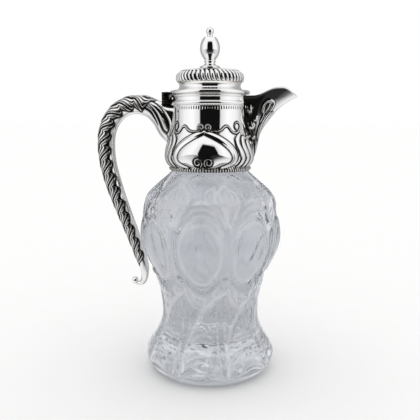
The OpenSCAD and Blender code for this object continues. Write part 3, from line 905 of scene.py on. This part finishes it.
def makeHandle():
    h = handleShape
    line, outward, run = handleRings(h, h["rows"] + 1)
    first, last = (k // 4 * 4 for k in np.searchsorted(run, (h["leafFrom"], run[-1] - h["leafTo"])))
    # core: smooth, with a long spoon-shaped lobe outlined on each flank of the root
    sides = h["coreSides"]
    turn = fullTurn(sides) + np.zeros((h["rows"] + 1, 1))
    core = handleSurface(line, outward, turn, 0.0)
    sheet = blankSheet(core[..., 0], core[..., 2])
    lobe = [(-55, 231), (-48.7, 226), (-44.3, 220.6), (-41.2, 213.6), (-38.7, 207), (-35.9, 204.4),
            (-33.7, 207), (-33.7, 212), (-35.3, 216.5), (-38.7, 222.5), (-43.7, 227.8), (-50, 231.3)]
    for stroke, half, depth in ((lobe, 0.8, 0.9),
                                ([(-56, 226.5), (-49.5, 222.6), (-45.6, 216), (-43.5, 210)], 0.7, 0.7),
                                ([(-36, 204), (-35, 198), (-36, 192)], 0.6, 0.6)):
        groove(sheet, flowing(stroke, 7), half, depth, dark=1.0)
    core = handleSurface(line, outward, turn, sheet["height"])
    _, edge, ends = leafEdge(h, run)
    # painted shade: a dark band on the core just beyond the sheath's edge, laid into the same dark mark as
    # the oxide
    fromOuter = np.abs((np.degrees(turn) + 180) % 360 - 180)
    shade = np.exp(-((fromOuter - edge[:, None] - 4) / 6.5) ** 2) * (ends[:, None] > 0)
    sheet["dark"] = np.maximum(sheet["dark"], 0.95 * shade)
    addPiece("handleCore", core.reshape(-1, 3), tubeFaces(h["rows"], sides), "jug", silver, ("handle_core",),
             {"tarnishAndShade": sheet["dark"].ravel()}, sharp=0)

    # leaf sheath: overlapping leaves whose tips make a waving edge along each flank
    cols = h["leafCols"]
    w = np.linspace(-1, 1, cols + 1)[None, :]
    along, edge, ends = leafEdge(h, run)
    turn = np.radians(edge[first:last + 1, None] * w)
    part, out, ends = line[first:last + 1], outward[first:last + 1], ends[first:last + 1, None]
    phase = along[first:last + 1, None]
    leaf = (phase + h["slant"] * np.abs(w) ** 0.9) % 1
    vein = (leaf * h["veins"]) % 1
    crest = ease(np.abs(w), 0.04, 0.16)
    valley = peak(vein, 0.5, 0.19) * crest
    rise = h["leafRise"] * (0.35 + 0.65 * leaf ** 0.6) - 0.5 * valley
    rise = rise * (1 - np.abs(w) ** 12) ** 0.5 * (0.2 + 0.8 * ends) + 0.05
    darkening = peak(leaf, 0, 0.13) * crest + 0.95 * valley
    # painted shade along the sheath's edge, where it stands over the core
    darkening = np.maximum(darkening, ease(np.abs(w), 0.92, 0.98)) * np.ones_like(rise)
    top = handleSurface(part, out, turn, rise)
    under = handleSurface(part, out, turn, -0.4)[::4, ::4]
    points, faces = thickSheet(top, under, False)
    # the sheath's underside and walls are fully dark: painted shade under the leaves
    dark = np.r_[np.clip(darkening, 0, 1).ravel(), np.ones(under.shape[0] * under.shape[1])]
    addPiece("handleLeaves", points, faces, "jug", silver, ("handle_leaves",), {"tarnishAndShade": dark}, sharp=0)


def makeScrollTip():             # ball that ends the scroll, flattened where it was hammered down
    h = handleShape
    r, sides = h["tipR"], 40
    a = column(np.radians(np.linspace(-90, 90, 25)[1:-1]))
    t = fullTurn(sides)
    wide = r * np.cos(a) * (1 - 0.12 * np.cos(a) ** 2 * np.cos(2 * t))
    points = np.stack([h["tipX"] + wide * np.cos(t), 0.95 * r * np.sin(a) + 0 * t,
                       h["tipZ"] + wide * np.sin(t)], -1)
    addPiece("handleScrollTip", points.reshape(-1, 3), tubeFaces(len(a) - 1, sides), "jug", silver,
             ("handle_scroll_tip",), sharp=0)


makeHandle()
makeScrollTip()
print("handle wrapped in leaves")


# ---------- lid ----------

lidShape = {
    "z": 236.0, "flangeR": 33.3, "flangeT": 3.2, "sleeveR": 28.9, "sleeveH": 6.0, "sheet": 1.2,
    "gadroonR": 28.2, "gadroonH": 9.0, "lobes": 44, "swirl": 9.0, "notchX": -31.0, "notchHalf": 7.4,
}
wallZ = lidShape["z"] + lidShape["flangeT"]
gadroonZ = wallZ + 6.3
domeZ = gadroonZ + lidShape["gadroonH"]
baseZ = domeZ + 3.4
urnZ = baseZ + 5
beadZ = jugTop - 6


def makeLidPlates():
    p = lidShape
    r, z = p["flangeR"], p["z"]
    inner = p["sleeveR"] - 2.6
    flange = join((inner, z), (r - 0.8, z),
                  bend((r - 0.3, z + 0.2), (r, z + 0.6), (r, wallZ - 0.9), (r - 0.7, wallZ - 0.35), 8),
                  bend((r - 1.4, wallZ - 0.2), (r - 2.2, wallZ), (r - 3, wallZ - 0.1), (r - 4, wallZ - 0.1),
                       6),
                  (p["sleeveR"] - 0.6, wallZ), (inner, wallZ))
    plate = lathe("lidFlange", flange, "lid", silver, ("lid_flange",), steps=192)
    cutNotch(plate, p)
    s, thin, low = p["sleeveR"], p["sleeveR"] - p["sheet"], z - p["sleeveH"]
    sleeve = join((s - 0.3, low), (s, low + 0.4), (s, z), (thin, z), (thin, low + 0.3), (thin + 0.3, low))
    lathe("lidSleeve", sleeve, "lid", silver, ("lid_sleeve",))
    line = join(bend((s - 0.6, wallZ), (26.2, wallZ + 0.8), (25.4, wallZ + 2.2), (25.4, wallZ + 3.8), 14),
                bend((25.45, wallZ + 4.2), (25.7, wallZ + 5.2), (26.2, wallZ + 5.8), (26.6, gadroonZ), 8))
    lathe("lidWall", join(line, (line - (p["sheet"], 0))[::-1]), "lid", silver, ("lid_wall",), steps=192)
    dome = join((1.7, baseZ - 1.4), (8, baseZ - 1.4),
                bend((8.2, baseZ - 1.42), (14, baseZ - 2), (20, domeZ), (21.4, domeZ), 10), (24.4, domeZ),
                (24.2, domeZ + 0.6), bend((22.8, domeZ + 0.9), (18, domeZ + 1.6), (13, baseZ - 1.4),
                                          (8.8, baseZ - 0.4), 16), (8.3, baseZ), (1.7, baseZ))
    lathe("lidDome", dome, "lid", silver, ("lid_dome",), steps=160)


def cutNotch(plate, p):          # the flange is cut back beside the hinge
    tool = placed("notch", softBlock((p["notchX"] - 10, -p["notchHalf"], p["z"] - 1),
                                     (p["notchX"], p["notchHalf"], wallZ + 1), 0))
    cut = plate.modifiers.new("notch", "BOOLEAN")
    cut.object, cut.operation, cut.solver = tool, "DIFFERENCE", "EXACT"
    graph = bpy.context.evaluated_depsgraph_get()
    done = bpy.data.meshes.new_from_object(plate.evaluated_get(graph))
    plate.modifiers.clear()
    plate.data = done
    bpy.data.objects.remove(tool)
    done.set_sharp_from_angle(angle=math.radians(40))


def makeGadroons():
    p = lidShape
    r, z, top = p["gadroonR"], gadroonZ, domeZ
    swept = join(bend((26.4, z + 0.1), (27.6, z + 0.2), (r - 0.4, z + 2), (r - 0.2, z + 3.8), 12),
                 bend((r - 0.2, z + 3.8), (r, z + 6), (27, z + 7.6), (24.4, top - 0.2), 14)[1:],
                 bend((24.4, top - 0.2), (23.6, top + 0.3), (22.8, top + 0.5), (22, top + 0.3), 6)[1:])
    swept = evenly(swept, 30)
    inside = join((21.4, top - 0.4), (21.4, z + 1.4), (23, z))
    turns = fullTurn(p["lobes"] * 14)
    share = column(np.linspace(0, 1, len(swept)))
    lean = np.radians(p["swirl"]) * (share + 0.35 * np.sin(2 * np.pi * share) / np.pi)
    wave = np.abs(np.cos(p["lobes"] / 2 * (turns + lean)))
    fade = ease(share, 0, 0.12) * (1 - ease(share, 0.86, 1))
    plain = np.zeros((len(inside), len(turns)))
    radius, level = (np.vstack([moved, column(inside[:, k]) + plain])
                     for k, moved in enumerate(pushedOut(swept, 1.15 * (wave ** 0.75 - 0.75) * fade)))
    dark = np.vstack([peak(wave, 0, 0.36) * fade, plain])
    faces = gridFaces(len(radius) - 1, len(turns), True, loop=True)
    addPiece("gadroonBorder", around(radius, turns, level).reshape(-1, 3), faces, "lid", silver,
             ("gadroon_border",), {"tarnishAndShade": dark.ravel()}, sharp=60)


def makeFinial():                # turned pieces, each from its foot up
    bore, b, u, top = 1.56, baseZ, urnZ, jugTop
    foot = join((bore, b), (8.1, b), (8.35, b + 0.3), (8.1, b + 0.8),
                bend((7.3, b + 1.2), (5, b + 1.8), (4.3, b + 2.6), (4.1, u - 1.1), 10),
                (4.6, u - 0.7), (4.95, u - 0.4), (4.9, u), (bore, u))
    lathe("finialBase", foot, "lid", silver, ("finial_base",), steps=96)
    urn = join((0.6, u + 8.6), (bore, u + 8.4), (bore, u), (4.3, u), (4.55, u + 0.4), (4.45, u + 0.9),
               bend((4.6, u + 1.3), (6.4, u + 3.4), (8.24, u + 6.4), (8.24, u + 10.3), 20),
               bend((8.2, u + 11.2), (8.0, u + 14.6), (6.6, u + 17.4), (5.2, u + 18.7), 20),
               (4.9, u + 19.1), (4.2, u + 19.25), (2.9, u + 19.5), (2.3, u + 20), (2.1, beadZ), (0.6, beadZ))
    lathe("finialUrn", urn, "lid", silver, ("finial_urn",), steps=96, closed=False)
    bead = join((0.4, beadZ), (2.1, beadZ),
                bend((2.0, beadZ + 0.5), (3.6, beadZ + 1.2), (3.5, beadZ + 4.6), (1.5, top - 0.5), 18),
                (0.9, top - 0.15), (0.3, top))
    lathe("finialBead", bead, "lid", silver, ("finial_bead",), steps=64, closed=False)


makeLidPlates()
makeGadroons()
makeFinial()
print("lid and finial made")


# ---------- hinge ----------

hingeShape = {
    "x": -36.5, "z": 235.4, "half": 7.0, "lug": 3.8, "bore": 1.26, "barrelR": 2.9,
    # the two dark values are painted shade for the hinge corner, laid into the silver's dark mark
    "bracketShade": 0.8, "knuckleShade": 0.3, "sides": 48,
}


def makeHinge():
    h = hingeShape
    x, half, inner = h["x"], h["half"], h["half"] - h["lug"]
    # fixed bracket: a block against the collar with two square lugs, made dark all over as painted shade
    work = bmesh.new()
    for low, high in (((x - 3.2, -half, 228.1), (-30.6, half, 232.1)),
                      ((x - 3.2, -half, 231.6), (x + 2.9, -inner, 238.0)),
                      ((x - 3.2, inner, 231.6), (x + 2.9, half, 238.0))):
        mesh = softBlock(low, high, 0.35)
        work.from_mesh(mesh)
        bpy.data.meshes.remove(mesh)
    work.verts.index_update()
    points = [tuple(v.co / mm) for v in work.verts]
    faces = [[v.index for v in f.verts] for f in work.faces]
    work.free()
    addPiece("hingeBracket", points, faces, "jug", silver, ("hinge_bracket",),
             {"tarnishAndShade": np.full(len(points), h["bracketShade"])}, sharp=35)
    # moving knuckle with its tongue, made a little dark all over as painted shade
    end, r, turns = inner - 0.15, h["barrelR"], fullTurn(h["sides"])
    outline = np.array([(h["bore"], -end), (r - 0.3, -end), (r, 0.3 - end), (r, end - 0.3), (r - 0.3, end),
                        (h["bore"], end)])
    ring = around(column(outline[:, 0]), turns, column(outline[:, 1]))
    points = (ring[..., (0, 2, 1)] + (x, 0, h["z"])).reshape(-1, 3)
    faces = gridFaces(len(outline) - 1, len(turns), True, loop=True)
    tongue = softBlock((x + 1.9, -end, lidShape["z"] + 0.05),
                       (lidShape["notchX"] + 0.1, end, lidShape["z"] + 2.2), 0.25)
    faces += [[len(points) + k for k in poly.vertices] for poly in tongue.polygons]
    points = np.vstack([points, [v.co / mm for v in tongue.vertices]])
    bpy.data.meshes.remove(tongue)
    addPiece("hingeKnuckle", points, faces, "lid", silver, ("hinge_lid_knuckle",),
             {"tarnishAndShade": np.full(len(points), h["knuckleShade"])}, sharp=35)


makeHinge()
for name in ("hinge_pin", "finial_stud", "finial_nut", "finial_washer"):
    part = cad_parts[name]
    part.data.materials.clear()
    part.data.materials.append(wire)
    part.data.shade_smooth()
    part.data.set_sharp_from_angle(angle=math.radians(35))
print("hinge made")


# ---------- floor, light and camera ----------

studio = {
    "floor": "#FDFDFC", "room": 1.0,
    "turn": 8.0, "distance": 0.483, "height": 0.215, "tilt": 9.0, "lens": 48.7,
    "darkGap": 30.0,             # half width in degrees of the dark gap between the white screens
    # light seen by shiny things and by glass, at angles from the camera's side round to the back
    "shine": [(0, 0.25), (28, 0.3), (34, 0.85), (55, 1.12), (85, 1.0), (105, 0.72), (122, 0.45), (180, 0.4)],
    "through": [(0, 0.4), (40, 0.42), (70, 0.54), (95, 0.68), (114, 0.72), (122, 0.5), (128, 0.52),
                (135, 0.9), (143, 0.82), (152, 0.62), (163, 0.5), (180, 0.48)],
    "table": [(0, 0.02), (32, 0.03), (48, 0.55), (70, 0.8), (105, 0.75), (125, 0.45), (180, 0.42)],
    "under": [(0.02, 0.4), (0.2, 0.5), (0.6, 0.56), (3.2, 0.47)],  # grey of the table at metres from the jug
    "shineTint": (0.97, 0.985, 1.03), "glassTint": (0.962, 1.0, 1.055),
}


def glowPlate(name, points, faces, sees, glow):
    mesh = bpy.data.meshes.new(name)
    mesh.from_pydata(points, [], faces)
    layer = mesh.attributes.new("glow", "FLOAT_COLOR", "POINT")
    layer.data.foreach_set("color", np.column_stack([glow, np.ones(len(glow))]).astype(np.float32).ravel())
    material, tree = emptyMaterial(name + "Glow")
    colour = addNode(tree, "Attribute", attribute_name="glow")
    emit = addNode(tree, "Emission", links={"Color": colour.outputs["Color"]})
    addNode(tree, "OutputMaterial", links={"Surface": emit.outputs[0]})
    mesh.materials.append(material)
    plate = placed(name, mesh)
    plate.visible_camera = plate.visible_diffuse = plate.visible_shadow = False
    plate.visible_glossy, plate.visible_transmission = sees == "gloss", sees == "glass"


def fromCamera(turns):           # degrees between a direction and the camera's side
    return np.abs((np.degrees(turns) + 180) % 360 - 180)


def facing(r, turns, up):        # points at angles counted from the camera's side
    a = math.radians(studio["turn"])
    return np.stack([r * np.sin(turns + a), -r * np.cos(turns + a), up + 0 * r * turns], -1).reshape(-1, 3)


# A dome that only shiny things or only glass can see, lit by angle round and angle up
def lightDome(name, radius, sees, profile, tint, upper):
    el, az = column(np.radians(np.linspace(-60, 90, 76))), np.radians(np.arange(0, 360, 2))
    glow = np.interp(fromCamera(az), *np.array(profile, float).T)
    high = ease(np.degrees(el), upper[0], upper[1])
    glow = (glow * (1 - high) + upper[2] * high)[..., None] * np.array(tint)
    points = facing(radius * np.cos(el), az, radius * np.sin(el))
    glowPlate(name, points, gridFaces(75, 180, True), sees, glow.reshape(-1, 3))


def makeStudio():
    s = studio
    mesh = bpy.data.meshes.new("floor")
    mesh.from_pydata([(x, y, -0.0006) for x, y in ((-40, -40), (40, -40), (40, 40), (-40, 40))], [],
                     [(0, 1, 2, 3)])
    material, tree, shader, place = newMaterial("paleFloor")
    colour = addRamp(tree, addNoise(tree, place, 30.0, 2.0), [(0.0, s["floor"]), (1.0, "#FFFFFF")])
    setInputs(tree, shader, {"Roughness": 0.9, "Specular IOR Level": 0.0}, {"Base Color": colour})
    mesh.materials.append(material)
    floor = placed("floor", mesh)

    world = bpy.data.worlds.new("softTent")
    bpy.context.scene.world = world
    world.use_nodes = True
    setInputs(world.node_tree, world.node_tree.nodes["Background"],
              {"Color": (1, 1, 1, 1), "Strength": s["room"]})

    # the camera's side of the room is a dark gap between the screens
    wide = math.radians(s["darkGap"])
    gap = [facing(1.1 / math.cos(wide), np.array([k * wide]), up)[0]
           for k, up in ((-1, -0.25), (1, -0.25), (1, 1.3), (-1, 1.3))]
    glowPlate("darkGap", gap, [(0, 1, 2, 3)], "gloss", np.full((4, 3), 0.006))
    lightDome("screenDome", 3.0, "gloss", s["shine"], s["shineTint"], (46, 56, 1.05))
    lightDome("glassDome", 3.2, "glass", s["through"], s["glassTint"], (30, 60, 0.75))

    # the table as shiny things see it: white by the jug, then fading into what stands round it
    radii, turns = column((0.14, 0.22, 0.32, 0.42, 0.55, 1.0, 3.0)), np.radians(np.arange(0, 360, 2))
    ring = np.interp(fromCamera(turns), *np.array(s["table"], float).T)
    blend = ease(radii, 0.14, 0.5)
    ring = ((1 - blend) * 0.97 + blend * ring)[..., None] * np.array(s["shineTint"])
    glowPlate("tableRing", facing(radii, turns, 0.0005), gridFaces(6, 180, True), "gloss",
              ring.reshape(-1, 3))

    # grey table seen only through the glass, darker towards its middle
    steps, radii = 48, column([r for r, _ in s["under"]])
    shade = np.repeat([tone for _, tone in s["under"]], steps)[:, None] * np.array(s["glassTint"])
    glowPlate("greyTable", around(radii, fullTurn(steps), -0.0004).reshape(-1, 3),
              gridFaces(3, steps, True) + [tuple(range(steps))], "glass", shade)


def makeCamera():
    s = studio
    a = math.radians(s["turn"])
    lens = bpy.data.cameras.new("camera")
    lens.lens, lens.sensor_width = s["lens"], 36.0
    lens.clip_start, lens.clip_end = 0.02, 100.0
    camera = placed("camera", lens)
    camera.location = (s["distance"] * math.sin(a), -s["distance"] * math.cos(a), s["height"])
    camera.rotation_euler = (math.radians(90 - s["tilt"]), 0, a)
    bpy.context.scene.camera = camera
    bpy.context.scene.view_settings.view_transform = "Standard"
    # thick glass needs long light paths, or its folds turn black
    cycles = bpy.context.scene.cycles
    cycles.max_bounces, cycles.glossy_bounces, cycles.transmission_bounces = 20, 12, 20


makeStudio()
makeCamera()
print("studio set,", len(pieces), "pieces")
